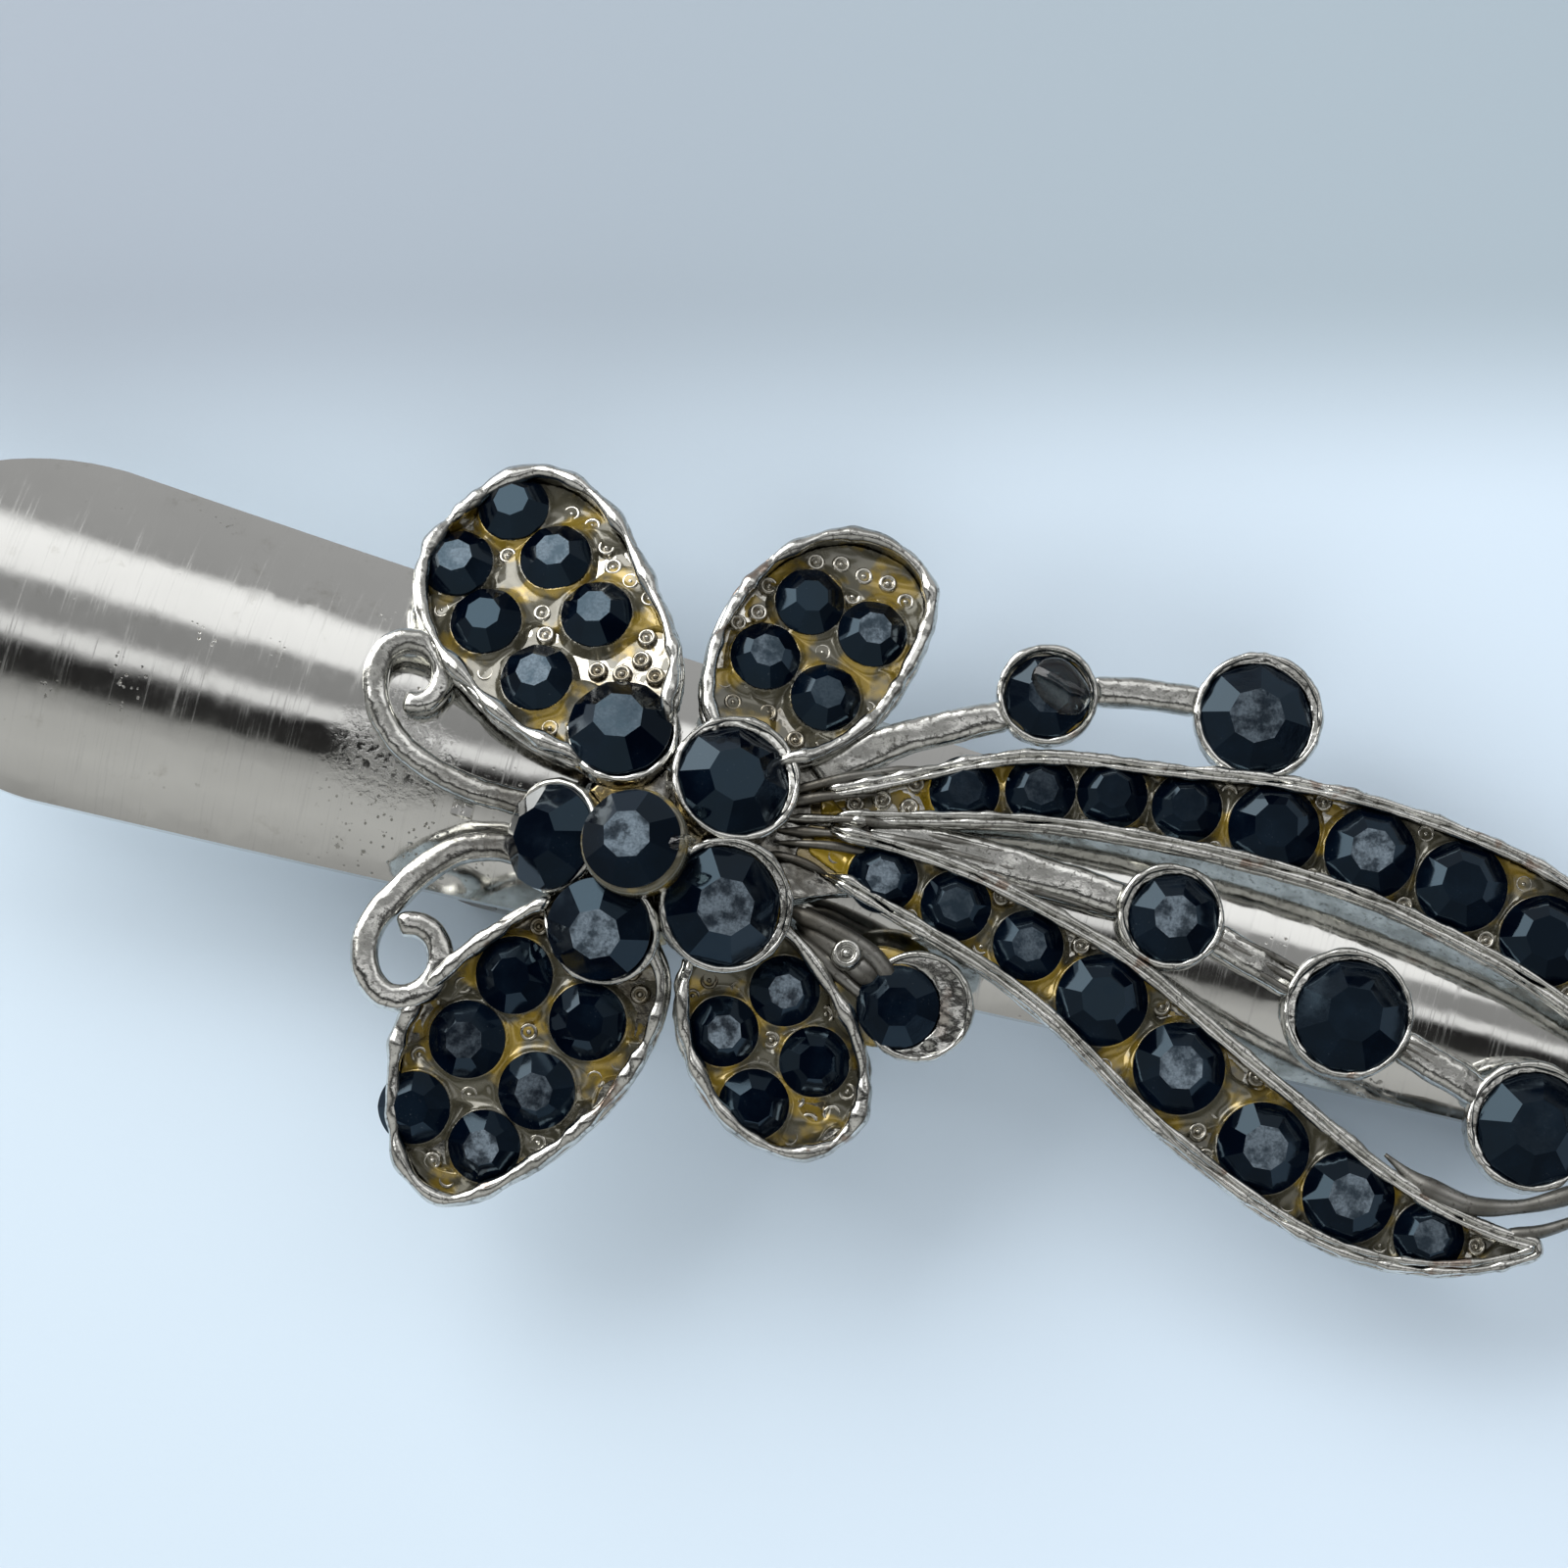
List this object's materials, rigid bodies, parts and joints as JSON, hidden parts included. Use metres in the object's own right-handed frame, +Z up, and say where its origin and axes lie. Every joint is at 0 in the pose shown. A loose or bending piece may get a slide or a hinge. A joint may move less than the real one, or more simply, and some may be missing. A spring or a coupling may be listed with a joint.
{
  "type": "hair clip",
  "caption": "Beak hair clip: a spring-hinged, barrel-shaped metal plate over a toothed jaw, carrying a cast butterfly, flower and ribbon ornament set with black faceted stones.",
  "frame": {"origin": "on the flat underside of the lower jaw's plane, under the middle of the whole clip's outline", "axes": "+X towards the beak's tip, +Y across the clip to its left when facing +X, +Z up through the ornament"},
  "size_m": [0.0852, 0.0328, 0.014],
  "materials": {
    "nickel_plate": "polished, scratched",
    "clip_steel": "satin",
    "spring_wire": "satin",
    "cast_metal": "plated casting, worn",
    "black_stone": "faceted gloss",
    "adhesive": "clear, yellowed",
    "solder": "dull"
  },
  "bodies": {
    "lower": {"lower_jaw": "clip_steel", "hinge_pin": "clip_steel", "torsion_spring": "spring_wire"},
    "upper": {"adhesive_ribbon_lower": "adhesive", "adhesive_ribbon_upper": "adhesive", "adhesive_wing_lower_left": "adhesive", "adhesive_wing_lower_right": "adhesive", "adhesive_wing_upper_left": "adhesive", "adhesive_wing_upper_right": "adhesive", "antenna_lower": "cast_metal", "antenna_upper": "cast_metal", "cup_flower_centre": "cast_metal", "cup_lower_side": "cast_metal", "cup_middle_centre": "cast_metal", "cup_middle_inner": "cast_metal", "cup_middle_outer": "cast_metal", "cup_petal_1": "cast_metal", "cup_petal_2": "cast_metal", "cup_petal_3": "cast_metal", "cup_petal_4": "cast_metal", "cup_petal_5": "cast_metal", "cup_upper_inner": "cast_metal", "cup_upper_outer": "cast_metal", "flower_hub": "cast_metal", "hinge_bracket": "clip_steel", "ribbon_lower": "cast_metal", "ribbon_upper": "cast_metal", "solder_front": "solder", "solder_rear": "solder", "stem_lower_side": "cast_metal", "stem_middle_centre": "cast_metal", "stem_middle_inner": "cast_metal", "stem_middle_outer": "cast_metal", "stem_tail": "cast_metal", "stem_upper_inner": "cast_metal", "stem_upper_outer": "cast_metal", "stone_flower_centre": "black_stone", "stone_lower_side": "black_stone", "stone_middle_centre": "black_stone", "stone_middle_inner": "black_stone", "stone_middle_outer": "black_stone", "stone_petal_1": "black_stone", "stone_petal_2": "black_stone", "stone_petal_3": "black_stone", "stone_petal_4": "black_stone", "stone_petal_5": "black_stone", "stone_upper_inner": "black_stone", "stone_upper_outer": "black_stone", "stones_ribbon_lower": "black_stone", "stones_ribbon_upper": "black_stone", "stones_wing_lower_left": "black_stone", "stones_wing_lower_right": "black_stone", "stones_wing_upper_left": "black_stone", "stones_wing_upper_right": "black_stone", "top_plate": "nickel_plate", "wing_lower_left": "cast_metal", "wing_lower_right": "cast_metal", "wing_upper_left": "cast_metal", "wing_upper_right": "cast_metal"}
  },
  "joints": [
    {"name": "jaw_hinge", "type": "hinge", "parent": "lower", "child": "upper", "pos_m": [-0.01385, 0.0032, 0.0047], "axis": [0, -1, 0], "range_deg": [0, 20], "stiffness_Nm_per_rad": 0.25, "springref_deg": -28.65, "deforming": ["torsion_spring"]}
  ]
}
